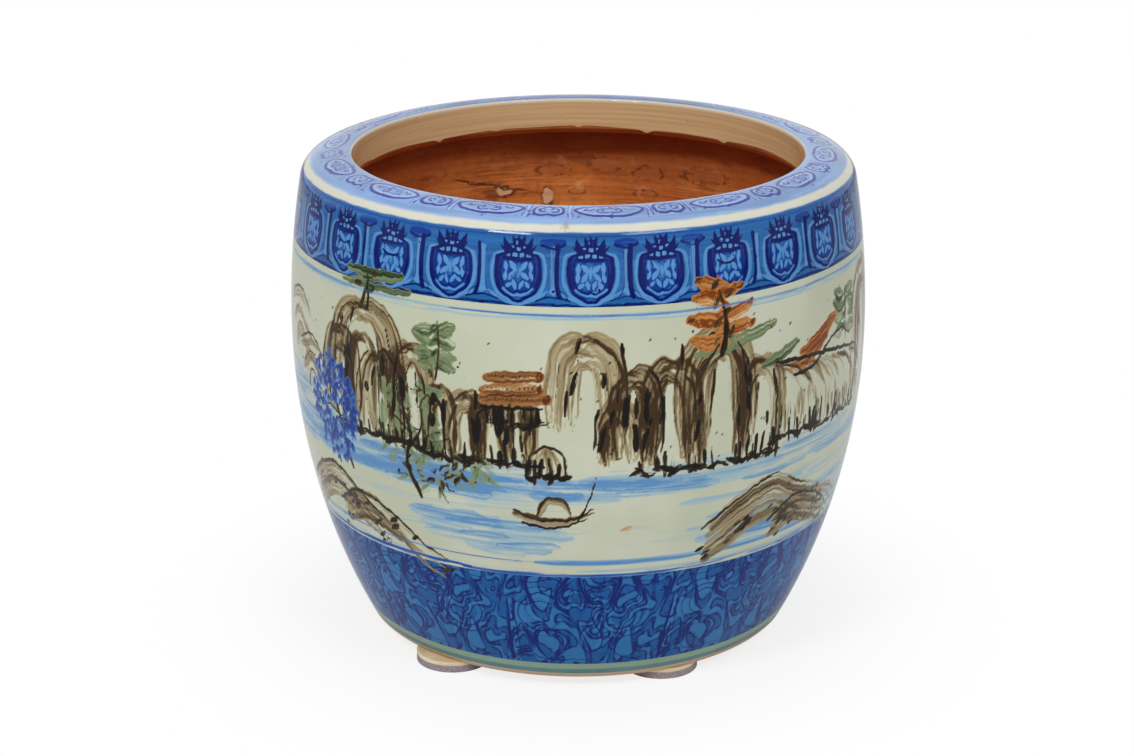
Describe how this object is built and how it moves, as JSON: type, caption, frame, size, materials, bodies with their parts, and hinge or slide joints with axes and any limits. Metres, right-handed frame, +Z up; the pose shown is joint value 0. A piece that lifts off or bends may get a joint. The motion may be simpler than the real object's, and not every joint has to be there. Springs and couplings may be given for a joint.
{
  "type": "jardiniere on glides",
  "caption": "Large round glazed ceramic jardiniere with a barrel belly, a turned-in rim with a lip, a drain hole and a foot ring, standing on felt floor glides.",
  "frame": {"origin": "on the floor, under the middle of the pot", "axes": "+Z up along the pot's axis, out of its mouth; -Y towards the front; +X to the right seen from the front"},
  "size_m": [0.3895, 0.3896, 0.3282],
  "materials": {
    "glazed_ware": "clear glossy glaze over painted ware, biscuit inside",
    "cap_plastic": "smooth cream plastic",
    "felt": "grey pressed felt"
  },
  "bodies": {
    "root": {"jardiniere": "glazed_ware", "glide_cap_front_left": "cap_plastic", "glide_cap_front_right": "cap_plastic", "glide_cap_rear_left": "cap_plastic", "glide_cap_rear_right": "cap_plastic", "felt_pad_front_left": "felt", "felt_pad_front_right": "felt", "felt_pad_rear_left": "felt", "felt_pad_rear_right": "felt"}
  },
  "joints": []
}
